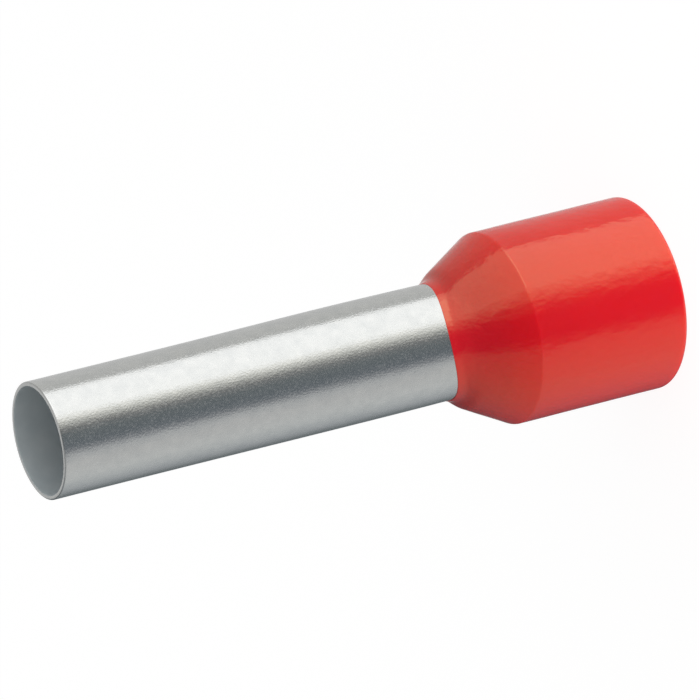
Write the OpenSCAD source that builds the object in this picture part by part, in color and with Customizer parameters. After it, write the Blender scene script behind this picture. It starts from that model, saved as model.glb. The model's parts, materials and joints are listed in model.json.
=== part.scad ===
// Insulated wire ferrule, size 10 mm2: a thin tin-plated copper tube that is crimped round the
// strands of a wire, with a moulded plastic collar that takes in the wire's insulation.
// It stands on the collar's open rim. The wire goes in from below, and the tube points up.

/* [Metal sleeve] */
// Bore of the tube, which the bare strands fill
sleeve_bore = 4.5; // [3.8:0.1:4.8]
// Wall of the drawn tube
sleeve_wall = 0.2; // [0.15:0.05:0.3]
// Length of tube that stands out of the collar
pin_length = 18; // [6:0.5:25]
// Rounding of the mouth's outer edge, burnished by the cut
mouth_outer_round = 0.06; // [0.02:0.01:0.08]
// Rounding of the mouth's inner edge
mouth_inner_round = 0.03; // [0.01:0.01:0.06]
// How far the flared end spreads past the outside of the tube
flare_spread = 0.65; // [0.3:0.05:0.8]
// Radius on the outside of the bend where the flare begins
flare_bend = 1.6; // [0.4:0.1:1.8]

/* [Plastic collar] */
// Outside diameter of the round body at its shoulder
body_diameter = 8.16; // [7.8:0.02:9.2]
// Draft of the body's outside, in degrees, which makes the rim the widest place
body_draft = 0.3; // [0:0.1:1]
// Wall of the round body at its shoulder
body_wall = 0.4; // [0.3:0.05:0.5]
// Length of the round body, from the rim to the shoulder
body_length = 7; // [5:0.1:7.4]
// Length of the whole collar, from the rim to the tip of its lip
collar_length = 10; // [9.8:0.1:12]
// Length of the neck and lip that grip the tube
neck_length = 1.1; // [0.9:0.1:1.4]
// Height of the nose, where the cone ends, over the tube
nose_width = 0.26; // [0.24:0.02:0.5]
// Rounding of the nose
nose_round = 0.2; // [0.05:0.05:0.2]
// Length of the thin lip past the nose
lip_length = 0.55; // [0.2:0.05:0.8]
// Wall of the tapered lip at its root
lip_root_wall = 0.09; // [0.06:0.01:0.1]
// Wall of the tapered lip at its front edge
lip_edge_wall = 0.05; // [0.03:0.01:0.05]
// Rounding of the lip's front edge and of the fillet at its root
lip_round = 0.03; // [0.01:0.01:0.03]
// Rounding of the shoulder between the body and the cone
shoulder_round = 0.25; // [0.05:0.05:0.8]
// Rounding of the rim's outer edge
rim_outer_round = 0.25; // [0.05:0.05:0.3]
// Rounding of the rim's inner edge
rim_inner_round = 0.08; // [0.02:0.01:0.1]

/* [Hidden] */
$fn = 96;

// Straight steps in each rounded edge
ARC_STEPS = 6;

bore_radius = sleeve_bore / 2;
tube_radius = bore_radius + sleeve_wall;
total_length = collar_length + pin_length;

body_radius = body_diameter / 2;
rim_radius = body_radius + body_length * tan(body_draft);
entry_radius = body_radius - body_wall;
nose_radius = tube_radius + nose_width;
lip_root_radius = tube_radius + lip_root_wall;
lip_edge_radius = tube_radius + lip_edge_wall;
lip_base = collar_length - lip_length;
neck_base = collar_length - neck_length;

// The collar's inner and outer cones are parallel, and the tube's flare lies on the inner one
cone_angle = atan((body_radius - nose_radius) / (lip_base - body_length));
entry_length = neck_base - (entry_radius - tube_radius) / tan(cone_angle);

function unit(v) = v / norm(v);

function turned(v, angle) = [
    v.x * cos(angle) - v.y * sin(angle),
    v.x * sin(angle) + v.y * cos(angle)
];

// The corner of an outline between the corners before and after it, each [r, z, rounding]:
// the points of an arc that touches both sides, or the sharp corner where the rounding is 0
function rounded_corner(before, corner, after) =
    let (
        tip = [corner[0], corner[1]],
        to_before = unit([before[0], before[1]] - tip),
        to_after = unit([after[0], after[1]] - tip),
        half_angle = acos(to_before * to_after) / 2,
        reach = corner[2] / tan(half_angle),
        centre = tip + unit(to_before + to_after) * corner[2] / sin(half_angle),
        start = tip + to_before * reach - centre,
        end = tip + to_after * reach - centre,
        sweep = sign(cross(start, end)) * (180 - 2 * half_angle)
    )
    corner[2] == 0
        ? [tip]
        : [for (step = [0:ARC_STEPS]) centre + turned(start, sweep * step / ARC_STEPS)];

// Turns a closed outline of [r, z, rounding] corners about the axis
module revolved(corners) {
    last = len(corners) - 1;
    rotate_extrude()
        polygon([
            for (i = [0:last])
                each rounded_corner(
                    corners[i == 0 ? last : i - 1],
                    corners[i],
                    corners[i == last ? 0 : i + 1]
                )
        ]);
}

// Seamless tube, cut square at its mouth. Its hidden end is rolled out into a flare of the same
// wall, which seats on the collar's inner cone and keeps the collar from coming off.
module metal_sleeve() {
    flare_radius = tube_radius + flare_spread;
    flare_base = neck_base - flare_spread / tan(cone_angle);
    color("#B4B8B8")
        revolved([
            [tube_radius, total_length, mouth_outer_round],
            [tube_radius, neck_base, flare_bend],
            [flare_radius, flare_base, 0],
            [
                flare_radius - sleeve_wall * cos(cone_angle),
                flare_base - sleeve_wall * sin(cone_angle),
                0
            ],
            [
                bore_radius,
                neck_base - sleeve_wall * tan(cone_angle / 2),
                flare_bend + sleeve_wall
            ],
            [bore_radius, total_length, mouth_inner_round]
        ]);
}

// One moulding: a round body that is open at its rim, a cone that guides the strands into the
// tube, and a neck round the tube that ends in a rounded nose and a thin lip.
module plastic_collar() {
    color("#D8322A")
        revolved([
            [rim_radius, 0, rim_outer_round],
            [body_radius, body_length, shoulder_round],
            [nose_radius, lip_base, nose_round],
            [lip_root_radius, lip_base, lip_round],
            [lip_edge_radius, collar_length, lip_round],
            [tube_radius, collar_length, 0],
            [tube_radius, neck_base, flare_bend],
            [entry_radius, entry_length, shoulder_round],
            [entry_radius, 0, rim_inner_round]
        ]);
}

metal_sleeve();
plastic_collar();
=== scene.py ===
"""Looks of a 10 mm2 insulated wire ferrule: a satin tin-plated tube in a red moulded collar.

Both pieces are turned about +Z. Each is one closed surface of revolution, worked out in
millimetres from its outline and written in metres. The sizes that mate with other things come
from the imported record, and the rest are named below. Nothing but the world lights them.
"""
import json
import math

import bpy
import numpy as np
from mathutils import Matrix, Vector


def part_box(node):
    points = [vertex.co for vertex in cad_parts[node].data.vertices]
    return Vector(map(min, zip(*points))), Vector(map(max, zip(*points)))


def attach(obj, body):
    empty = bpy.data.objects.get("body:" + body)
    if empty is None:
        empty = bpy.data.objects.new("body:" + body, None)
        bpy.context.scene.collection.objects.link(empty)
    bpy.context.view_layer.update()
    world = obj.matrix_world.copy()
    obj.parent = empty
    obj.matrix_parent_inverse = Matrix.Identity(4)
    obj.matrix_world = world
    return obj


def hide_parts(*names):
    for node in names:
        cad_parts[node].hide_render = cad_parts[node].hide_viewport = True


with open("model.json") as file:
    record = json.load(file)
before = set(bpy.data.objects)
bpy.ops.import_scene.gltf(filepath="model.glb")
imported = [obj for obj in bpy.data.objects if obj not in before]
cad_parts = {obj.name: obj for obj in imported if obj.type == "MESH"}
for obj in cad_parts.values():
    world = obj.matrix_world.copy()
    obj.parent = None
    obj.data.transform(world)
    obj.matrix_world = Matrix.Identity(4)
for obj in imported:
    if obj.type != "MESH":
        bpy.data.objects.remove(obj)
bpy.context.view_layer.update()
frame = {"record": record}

MM = 0.001  # a millimetre in metres

# ---- Sizes, in millimetres -------------------------------------------------------------------

MOUNTS = {mount["name"]: mount["dims"] for mount in frame["record"]["mounts"]}
BORE = MOUNTS["conductor_bore"]["r_mm"]
TUBE = MOUNTS["terminal_pin"]["r_mm"]
ENTRY = MOUNTS["insulation_bore"]["r_mm"]
WALL = TUBE - BORE
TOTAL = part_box("metal_sleeve")[1].z / MM
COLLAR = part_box("plastic_collar")[1].z / MM
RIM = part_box("plastic_collar")[1].x / MM

BODY = ENTRY + 0.4           # outside of the collar at its shoulder
SHOULDER = 7.0               # height of the shoulder over the rim
NOSE = TUBE + 0.26           # the cone passes through this radius
NOSE_HEIGHT = COLLAR - 0.55  # at this height
LIP_ROOT = TUBE + 0.13       # where the cone's line runs out into the thin lip
LIP_EDGE = TUBE + 0.04       # outside of the lip where it ends on the tube
NECK = COLLAR - 1.1          # where the collar's inner cone meets the bore of its neck
FLARE = TUBE + 0.65          # how far the sleeve's hidden end is rolled out

CONE = math.atan((BODY - NOSE) / (NOSE_HEIGHT - SHOULDER))
CONE_END = NOSE_HEIGHT + (NOSE - LIP_ROOT) / math.tan(CONE)
FLARE_END = NECK - (FLARE - TUBE) / math.tan(CONE)
ENTRY_END = NECK - (ENTRY - TUBE) / math.tan(CONE)

# Roundings of the outlines' corners
SHARP = 0.02                 # least rounding of any edge, which the light catches
MOUTH_OUTER_ROUND = 0.06
MOUTH_INNER_ROUND = 0.03
FLARE_BEND = 1.6             # bend of the sleeve's hidden end, on its outside
RIM_OUTER_ROUND = 0.22
RIM_INNER_ROUND = 0.08
SHOULDER_ROUND = 0.25
LIP_FILLET = 1.0             # the sweep from the cone into the lip

# How far the pieces are from true. These are judged from how reflections bend and where
# edges lie, and their causes aren't known.
SWELL = 0.04                 # the tube's outside is fuller by this much; its bore is left alone,
#                              so under the lip it runs up to 0.03 mm into the collar's neck
SWELL_HEIGHT = 14.0          # it is fullest at this height
SWELL_SPREAD = 5.5           # and less by a factor of e this far from it
LEAN = 0.03                  # one side of the collar's shoulder is this much wider
SAG = 0.08                   # and this much lower
LIP_WAVE = 0.25              # the lip's edge waves this far along the tube, both ways

SEGMENTS = 384               # columns round each piece
SLEEVE_ROW = 0.22            # spacing of the rows along each outline
COLLAR_ROW = 0.12


# ---- Surfaces of revolution ------------------------------------------------------------------

def rounded_corner(before, corner, after, steps=10):
    """Points of the arc that touches both sides of an outline's corner.

    Each corner is (r, z, rounding). The arc's centre lies on the bisector, at rounding / sin of
    half the corner's angle, and its ends lie where the two sides touch it.
    """
    tip = np.array(corner[:2])
    to_before = np.array(before[:2]) - tip
    to_after = np.array(after[:2]) - tip
    to_before /= np.linalg.norm(to_before)
    to_after /= np.linalg.norm(to_after)
    half = math.acos(float(np.clip(to_before @ to_after, -1, 1))) / 2
    bisector = (to_before + to_after) / np.linalg.norm(to_before + to_after)
    centre = tip + bisector * corner[2] / math.sin(half)
    start = tip + to_before * corner[2] / math.tan(half) - centre
    side = np.sign(to_before[1] * to_after[0] - to_before[0] * to_after[1])
    turn = side * (math.pi - 2 * half) * np.linspace(0, 1, steps)
    cos = np.cos(turn)
    sin = np.sin(turn)
    return centre + np.stack([start[0] * cos - start[1] * sin, start[0] * sin + start[1] * cos], 1)


def outline(corners, spacing):
    """A closed outline as an (n, 2) array of r, z: arcs at its corners, even steps between them."""
    arcs = [
        rounded_corner(corners[i - 1], corner, corners[(i + 1) % len(corners)])
        for i, corner in enumerate(corners)
    ]
    points = []
    for arc, following in zip(arcs, arcs[1:] + arcs[:1]):
        gap = following[0] - arc[-1]
        steps = max(1, round(float(np.linalg.norm(gap)) / spacing))
        points += [arc[:-1], arc[-1] + gap * (np.arange(steps) / steps)[:, None]]
    return np.concatenate(points)


def ripple(z, angle, waves):
    """Sum of sines over angle and z: each wave is (cycles round, mm along, amplitude, phase)."""
    total = np.zeros_like(angle)
    for cycles, length, amplitude, phase in waves:
        total += amplitude * np.sin(cycles * angle + 2 * math.pi * z / length + phase)
    return total


def turned(name, corners, spacing, relief, shift=None):
    """One closed surface: point = outline (r, z) turned by the angle.

    Relief(r, z, angle) is added to r, and shift(r, z, angle) to z. Rows follow the outline and
    columns the angle, and both wrap, so that no seam stays open. The faces are reversed where
    the outline's signed area is negative, so that their normals always point outwards.
    """
    r, z = outline(corners, spacing).T
    angle = np.linspace(0, 2 * math.pi, SEGMENTS, endpoint=False)
    rr, aa = np.meshgrid(r, angle, indexing="ij")
    zz = np.repeat(z[:, None], SEGMENTS, axis=1)
    out = rr + relief(rr, zz, aa)
    up = zz + shift(rr, zz, aa) if shift else zz
    points = np.stack([out * np.cos(aa), out * np.sin(aa), up], axis=-1) * MM
    index = np.arange(len(r) * SEGMENTS).reshape(len(r), SEGMENTS)
    along = np.roll(index, -1, axis=0)
    across = np.roll(index, -1, axis=1)
    both = np.roll(along, -1, axis=1)
    faces = np.stack([index, across, both, along], axis=-1).reshape(-1, 4)
    area = float(np.sum(r * np.roll(z, -1) - np.roll(r, -1) * z))
    if area < 0:
        faces = faces[:, ::-1]
    mesh = bpy.data.meshes.new(name)
    mesh.from_pydata(points.reshape(-1, 3).tolist(), [], faces.tolist())
    mesh.polygons.foreach_set("use_smooth", np.ones(len(faces), bool))
    mesh.update()
    piece = bpy.data.objects.new(name, mesh)
    bpy.context.scene.collection.objects.link(piece)
    return piece


def step(value, low, high):
    """0 below low, 1 above high, and a smooth curve between them."""
    share = np.clip((value - low) / (high - low), 0, 1)
    return share * share * (3 - 2 * share)


def metal_sleeve():
    """The drawn tube, with its mouth cut square and its hidden end rolled out into the collar.

    Relief = ripples above the collar + a swell that is a bell curve over the height, all of it
    on the outside alone and fading out just under the mouth.
    """
    corners = [
        (TUBE, TOTAL, MOUTH_OUTER_ROUND),
        (TUBE, NECK, FLARE_BEND),
        (FLARE, FLARE_END, SHARP),
        (FLARE - WALL * math.cos(CONE), FLARE_END - WALL * math.sin(CONE), SHARP),
        (BORE, NECK - WALL * math.tan(CONE / 2), FLARE_BEND + WALL),
        (BORE, TOTAL, MOUTH_INNER_ROUND),
    ]
    # The drawn wall is true to a few thousandths of a millimetre
    waves = [
        (2, 60, 0.003, 0.4),
        (3, 23, 0.0015, 1.9),
        (5, 9, 0.0006, 3.1),
    ]

    def relief(r, z, angle):
        outside = step(r, TUBE - 0.04, TUBE - 0.01)
        below_mouth = 1 - step(z, TOTAL - 0.5, TOTAL - 0.1)
        free = step(z, COLLAR + 0.1, COLLAR + 1)
        bell = SWELL * np.exp(-((z - SWELL_HEIGHT) / SWELL_SPREAD) ** 2)
        # Half as much again on one side, and half as much on the other
        swell = bell * (1 + 0.5 * np.cos(angle))
        swell *= step(z, COLLAR - 1, COLLAR)
        return outside * below_mouth * (free * ripple(z, angle, waves) + swell)

    return turned("sleeve", corners, SLEEVE_ROW, relief)


def plastic_collar():
    """The moulding: body, shoulder, cone and thin lip outside, entry, cone and neck inside.

    Relief = ripples on the body + a lean that grows from the rim to the shoulder and fades out
    over the cone. Shift = two waves round the lip's edge + a sag of the shoulder. The lean and
    the sag are on one side, opposite the angle 0.
    """
    corners = [
        (RIM, 0, RIM_OUTER_ROUND),
        (BODY, SHOULDER, SHOULDER_ROUND),
        (LIP_ROOT, CONE_END, LIP_FILLET),
        (LIP_EDGE, COLLAR, SHARP),
        (TUBE, COLLAR, SHARP),
        (TUBE, NECK, FLARE_BEND),
        (ENTRY, ENTRY_END, SHOULDER_ROUND),
        (ENTRY, 0, RIM_INNER_ROUND),
    ]
    # Ripples of the moulding, of a size that is usual for one
    waves = [
        (3, 17, 0.004, 0.6),
        (7, 5.3, 0.0016, 2.2),
        (-11, 3.1, 0.001, 4.0),
        (17, 4.4, 0.0006, 1.1),
    ]

    def outside(r, z):
        """1 on the outside of body and cone, 0 on the inside: from 0.2 to 0.3 mm down it fades."""
        radius_of_body = r + np.maximum(z - SHOULDER, 0) * math.tan(CONE)
        return step(radius_of_body, BODY - 0.3, BODY - 0.2)

    def one_side(angle):
        """1 opposite the angle 0, and 0 at it."""
        return (1 - np.cos(angle)) / 2

    def relief(r, z, angle):
        body = step(z, 0.4, 1.2) * (1 - step(z, SHOULDER - 0.5, SHOULDER - 0.2))
        lean = LEAN * step(z, 0, SHOULDER) * (1 - step(z, NECK, CONE_END))
        return outside(r, z) * (body * ripple(z, angle, waves) + lean * one_side(angle))

    def shift(r, z, angle):
        sag = SAG * step(z, SHOULDER - 2, SHOULDER) * (1 - step(z, SHOULDER, NECK))
        # The lip is longer on two sides than between them
        lip = LIP_WAVE * step(z, NECK, CONE_END) * np.cos(2 * angle)
        return -lip - sag * outside(r, z) * one_side(angle) ** 2

    return turned("collar", corners, COLLAR_ROW, relief, shift)


# ---- Materials -------------------------------------------------------------------------------

def linear(code):
    """An sRGB hex colour as linear red, green, blue and alpha."""
    parts = [int(code[i:i + 2], 16) / 255 for i in (1, 3, 5)]
    return tuple(c / 12.92 if c <= 0.04045 else ((c + 0.055) / 1.055) ** 2.4 for c in parts) + (1,)


def node(tree, kind, settings=(), inputs=(), stops=()):
    """Adds a node, sets its properties, sets or links its inputs, and fills a ramp's stops.

    An input that is another node's output is linked. A stop is (position, linear colour).
    """
    made = tree.nodes.new("ShaderNode" + kind)
    for name, value in dict(settings).items():
        setattr(made, name, value)
    for name, value in dict(inputs).items():
        if isinstance(value, bpy.types.NodeSocket):
            tree.links.new(value, made.inputs[name])
        else:
            made.inputs[name].default_value = value
    for _ in stops[2:]:
        made.color_ramp.elements.new(1.0)
    # All the positions come first, because moving a stop can change the stops' order
    for i, (position, _) in enumerate(stops):
        made.color_ramp.elements[i].position = position
    for i, (_, colour) in enumerate(stops):
        made.color_ramp.elements[i].color = colour
    return made


def material(name):
    """A new material with an empty tree. Gives the material and its tree."""
    made = bpy.data.materials.new(name)
    made.use_nodes = True
    made.node_tree.nodes.clear()
    return made, made.node_tree


def finish_with(tree, shader):
    """Links a shader to the material's output."""
    node(tree, "OutputMaterial", inputs={"Surface": shader})


def tin_plated_copper():
    """Bright tin on drawn copper: grey, satin, and grained where the plating has settled."""
    made, tree = material("tin_plated_copper")
    place = node(tree, "TexCoord").outputs["Object"]
    # Grain of the plating, 0.08 mm across: it breaks up the edges of what the tube reflects
    grain = node(tree, "TexNoise", inputs={
        "Vector": place, "Scale": 1 / (0.08 * MM), "Detail": 1.0, "Roughness": 0.5,
    }).outputs["Fac"]
    # Clouds 0.5 mm across, where the plating is a little darker
    clouds = node(tree, "TexNoise", inputs={
        "Vector": place, "Scale": 1 / (0.5 * MM), "Detail": 3.0, "Roughness": 0.7,
    }).outputs["Fac"]
    colour = node(tree, "ValToRGB", inputs={"Fac": clouds}, stops=[
        (0.3, linear("#DCDEDD")),
        (0.7, linear("#E8E9E7")),
    ]).outputs["Color"]
    # The grain's low spots are matt
    roughness = node(tree, "MapRange", inputs={
        "Value": grain, "From Min": 0.3, "From Max": 0.6, "To Min": 0.28, "To Max": 0.08,
    }).outputs["Result"]
    bump = node(tree, "Bump", inputs={
        "Height": grain, "Distance": 0.006 * MM, "Strength": 1.0,
    }).outputs["Normal"]
    # A tenth of it is dull, as tin is once it has been handled
    shader = node(tree, "BsdfPrincipled", inputs={
        "Base Color": colour, "Metallic": 0.9, "Roughness": roughness, "Normal": bump,
    })
    finish_with(tree, shader.outputs["BSDF"])
    return made


def dull_tin_bore():
    """Tin inside the bore, which no tool has smoothed: matt grey, with soft clouds."""
    made, tree = material("dull_tin_bore")
    place = node(tree, "TexCoord").outputs["Object"]
    clouds = node(tree, "TexNoise", inputs={
        "Vector": place, "Scale": 1 / (0.9 * MM), "Detail": 3.0, "Roughness": 0.5,
    }).outputs["Fac"]
    colour = node(tree, "ValToRGB", inputs={"Fac": clouds}, stops=[
        (0.3, linear("#C6CFD2")),
        (0.7, linear("#D2D9DB")),
    ]).outputs["Color"]
    shader = node(tree, "BsdfPrincipled", inputs={
        "Base Color": colour, "Metallic": 0.2, "Roughness": 0.5,
    })
    finish_with(tree, shader.outputs["BSDF"])
    return made


def red_polypropylene():
    """Moulded polypropylene: strong red, glossy, slightly translucent, with a faint orange peel."""
    made, tree = material("moulded_red_polypropylene")
    place = node(tree, "TexCoord").outputs["Object"]
    height = node(tree, "SeparateXYZ", inputs={"Vector": place}).outputs["Z"]
    # Painted shade and light: the red is darker from the rim up and over the cone, where less light
    # falls, lighter in a band just over the shoulder, and lighter again at the thin lip, a painted
    # glow of the tin behind it. The shades are listed at their heights
    share = node(tree, "MapRange", inputs={
        "Value": height, "From Max": COLLAR * MM,
    }).outputs["Result"]
    colour = node(tree, "ValToRGB", inputs={"Fac": share}, stops=[
        (0.0, linear("#EE102A")),
        (0.40, linear("#EB0F28")),
        (0.68, linear("#E20D26")),
        (0.72, linear("#E60D26")),
        (0.84, linear("#DE0D26")),
        (0.93, linear("#D60C26")),
        (0.985, linear("#E00F28")),
    ]).outputs["Color"]
    # Scattering fades out towards the lip, because in a wall as thin as that it turns the red
    # brown. This is a workaround, and not how the plastic behaves
    thick = node(tree, "MapRange", inputs={
        "Value": height, "From Min": (SHOULDER + 0.8) * MM, "From Max": CONE_END * MM,
        "To Min": 1.0, "To Max": 0.0,
    }).outputs["Result"]
    # Ripples of the melt, drawn out along the collar, with finer ones in them
    stretched = node(tree, "Mapping", inputs={"Vector": place, "Scale": (1.0, 1.0, 0.7)})
    peel = node(tree, "TexNoise", inputs={
        "Vector": stretched.outputs["Vector"], "Scale": 1 / (0.36 * MM), "Detail": 2.0,
        "Roughness": 0.55,
    }).outputs["Fac"]
    bump = node(tree, "Bump", inputs={
        "Height": peel, "Distance": 0.022 * MM, "Strength": 1.0,
    }).outputs["Normal"]
    # The index and the level are higher than polypropylene's, and the tint isn't its
    # own either. They make up for what the cards lack
    shader = node(tree, "BsdfPrincipled", inputs={
        "Base Color": colour, "Roughness": 0.085, "IOR": 1.6, "Specular IOR Level": 1.0,
        "Specular Tint": (1.0, 1.0, 0.55, 1), "Normal": bump,
        "Subsurface Weight": thick, "Subsurface Radius": (1.0, 0.3, 0.3),
        "Subsurface Scale": 1.1 * MM,
    })
    finish_with(tree, shader.outputs["BSDF"])
    return made


def finish_inside(piece, radius):
    """Gives the second material to the faces that lie nearer to the axis than the radius."""
    centres = np.empty(3 * len(piece.data.polygons))
    piece.data.polygons.foreach_get("center", centres)
    inside = np.hypot(centres[0::3], centres[1::3]) < radius * MM
    piece.data.polygons.foreach_set("material_index", inside.astype(np.int32))


# ---- Stage, lights and camera ----------------------------------------------------------------

def light_table():
    """A plain white table that the camera sees at about 1, less the shadow that falls on it."""
    # Half its width in metres, enough to fill the view
    half = 1.5
    corners = [(-half, -half, 0), (half, -half, 0), (half, half, 0), (-half, half, 0)]
    mesh = bpy.data.meshes.new("light_table")
    mesh.from_pydata(corners, [], [(0, 1, 2, 3)])
    floor = bpy.data.objects.new("light_table", mesh)
    bpy.context.scene.collection.objects.link(floor)
    made, tree = material("white_light_table")
    rays = node(tree, "LightPath").outputs
    # The glow, and what the matt surface gives back of the soft light, come to 1 together
    glow = node(tree, "Emission", inputs={"Color": (1, 1, 1, 1), "Strength": 0.904})
    glow_seen = node(tree, "MixShader", inputs={
        0: rays["Is Camera Ray"], 2: glow.outputs["Emission"],
    })
    matt = node(tree, "BsdfDiffuse", inputs={"Color": (0.25, 0.25, 0.25, 1)})
    both = node(tree, "AddShader", inputs={
        0: glow_seen.outputs["Shader"], 1: matt.outputs["BSDF"],
    })
    # Seen from underneath it is clear, so that it never hides the rim that stands on it
    clear = node(tree, "BsdfTransparent")
    one_sided = node(tree, "MixShader", inputs={
        0: node(tree, "NewGeometry").outputs["Backfacing"],
        1: both.outputs["Shader"], 2: clear.outputs["BSDF"],
    })
    finish_with(tree, one_sided.outputs["Shader"])
    mesh.materials.append(made)
    # The soft light and the cards below the horizon reach the object through the table
    floor.visible_diffuse = False
    floor.visible_glossy = False
    floor.visible_transmission = False
    floor.visible_shadow = False


# What glossy surfaces reflect: degrees round from the camera's side, the colour there, and its
# share of the strip light. A white softbox, a black card beside the camera, and grey cards.
CARDS = [
    (-180, 0.76, 0.76, 0.76, 0),
    (-168, 0.09, 0.11, 0.12, 0),
    (-150, 0.14, 0.16, 0.17, 0),
    (-130, 0.31, 0.33, 0.35, 0),
    (-110, 0.44, 0.46, 0.47, 0),
    (-90, 0.53, 0.54, 0.54, 0),
    (-60, 0.48, 0.48, 0.48, 0),
    (-43, 0.40, 0.41, 0.42, 0),
    (-34, 0.17, 0.18, 0.20, 0),
    (-24, 0.05, 0.07, 0.09, 0),
    (-2, 0.05, 0.07, 0.08, 0),
    (10, 0.13, 0.13, 0.13, 0),
    (19, 0.42, 0.42, 0.39, 0),
    (30, 0.90, 0.89, 0.84, 0.4),
    (38, 1.15, 1.15, 1.14, 1),
    (78, 1.15, 1.15, 1.15, 1),
    (88, 1.12, 1.12, 1.12, 0),
    (94, 1.08, 1.08, 1.08, 0),
    (98, 0.45, 0.45, 0.44, 0),
    (116, 0.49, 0.49, 0.48, 0),
    (160, 0.53, 0.53, 0.53, 0),
    (180, 0.76, 0.76, 0.76, 0),
]

# At each height, degrees over the horizon: how strong the cards are, how much white is added all
# round, as from a lit table, and how strong the strip light is. The strip lies on the horizon.
HEIGHTS = [
    (-90, 1.00, 0.1, 0.0),
    (-50, 1.00, 0.1, 0.0),
    (-38, 1.00, 0.0, 0.0),
    (-16, 1.00, 0.0, 0.0),
    (-6, 0.95, 0.0, 0.6),
    (6, 0.90, 0.0, 0.6),
    (14, 0.80, 0.0, 0.0),
    (26, 0.68, 0.0, 0.0),
    (90, 0.68, 0.0, 0.0),
]

# Soft light for what is matt: where it is strongest, and its least and greatest strength
FILL_FROM = (0.333, -0.533, -0.778)
FILL = (0.055, 1.405)


def studio():
    """White behind the object, and round it the cards that it reflects and a soft light.

    A glossy ray sees the cards' colour at its azimuth x their strength at its height, and added
    to that the strip's share at its azimuth x its strength at its height, and the white at its
    height. A diffuse ray sees the soft light, and the camera sees white.
    """
    world = bpy.data.worlds.new("studio")
    bpy.context.scene.world = world
    world.use_nodes = True
    tree = world.node_tree
    tree.nodes.clear()
    rays = node(tree, "LightPath").outputs
    direction = node(tree, "TexCoord").outputs["Generated"]
    direction_parts = node(tree, "SeparateXYZ", inputs={"Vector": direction}).outputs
    towards_camera = node(tree, "Math", {"operation": "MULTIPLY"},
                          {0: direction_parts["Y"], 1: -1.0})
    azimuth = node(tree, "Math", {"operation": "ARCTAN2"},
                   {0: direction_parts["X"], 1: towards_camera.outputs["Value"]})
    turn = node(tree, "MapRange", inputs={
        "Value": azimuth.outputs["Value"], "From Min": -math.pi, "From Max": math.pi,
    })
    cards = node(tree, "ValToRGB", inputs={"Fac": turn.outputs["Result"]}, stops=[
        ((degrees + 180) / 360, parts) for degrees, *parts in CARDS
    ]).outputs
    level = node(tree, "MapRange", inputs={"Value": direction_parts["Z"], "From Min": -1.0})
    heights = node(tree, "ValToRGB", inputs={"Fac": level.outputs["Result"]}, stops=[
        ((math.sin(math.radians(degrees)) + 1) / 2, (*shares, 1)) for degrees, *shares in HEIGHTS
    ])
    share = node(tree, "SeparateColor", inputs={"Color": heights.outputs["Color"]}).outputs
    added_white = node(tree, "Math", {"operation": "MULTIPLY_ADD"},
                       {0: cards["Alpha"], 1: share["Blue"], 2: share["Green"]})
    around = node(tree, "Background", inputs={
        "Color": cards["Color"], "Strength": share["Red"],
    })
    white = node(tree, "Background", inputs={
        "Color": (1, 1, 1, 1), "Strength": added_white.outputs["Value"],
    })
    reflected = node(tree, "AddShader", inputs={
        0: around.outputs["Background"], 1: white.outputs["Background"],
    })
    towards_fill = node(tree, "VectorMath", {"operation": "DOT_PRODUCT"},
                        {0: direction, 1: FILL_FROM})
    fill = node(tree, "MapRange", inputs={
        "Value": towards_fill.outputs["Value"], "From Min": -1.0,
        "To Min": FILL[0], "To Max": FILL[1],
    })
    soft = node(tree, "Background", inputs={
        "Color": (1, 1, 1, 1), "Strength": fill.outputs["Result"],
    })
    lit = node(tree, "MixShader", inputs={
        0: rays["Is Glossy Ray"], 1: soft.outputs["Background"], 2: reflected.outputs["Shader"],
    })
    behind = node(tree, "Background", inputs={"Color": (1, 1, 1, 1)})
    seen = node(tree, "Math", {"operation": "MAXIMUM"},
                {0: rays["Is Camera Ray"], 1: rays["Is Transmission Ray"]})
    all_rays = node(tree, "MixShader", inputs={
        0: seen.outputs["Value"], 1: lit.outputs["Shader"], 2: behind.outputs["Background"],
    })
    node(tree, "OutputWorld", inputs={"Surface": all_rays.outputs["Shader"]})


def camera():
    """The camera looks down on the standing part and is rolled until it lies across the view."""
    data = bpy.data.cameras.new("camera")
    data.sensor_width = 36
    data.lens = 368.13
    data.clip_start = 0.01
    data.clip_end = 10
    made = bpy.data.objects.new("camera", data)
    # The distance and the point it is aimed at are in millimetres
    distance = 294.25
    elevation = math.radians(25.011)
    roll = math.radians(-103.895)
    aim_x = 0.549
    aim_z = 13.593
    made.location = (
        aim_x * MM,
        -distance * math.cos(elevation) * MM,
        (aim_z + distance * math.sin(elevation)) * MM,
    )
    tilt = math.pi / 2 - elevation
    turned_by = Matrix.Rotation(tilt, 3, "X") @ Matrix.Rotation(roll, 3, "Z")
    made.rotation_euler = turned_by.to_euler()
    bpy.context.scene.collection.objects.link(made)
    bpy.context.scene.camera = made


bpy.context.scene.view_settings.view_transform = "Standard"
camera()
light_table()
studio()

sleeve = metal_sleeve()
sleeve.data.materials.append(tin_plated_copper())
sleeve.data.materials.append(dull_tin_bore())
finish_inside(sleeve, BORE + WALL / 4)
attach(sleeve, "root")
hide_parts("metal_sleeve")

collar = plastic_collar()
collar.data.materials.append(red_polypropylene())
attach(collar, "root")
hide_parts("plastic_collar")
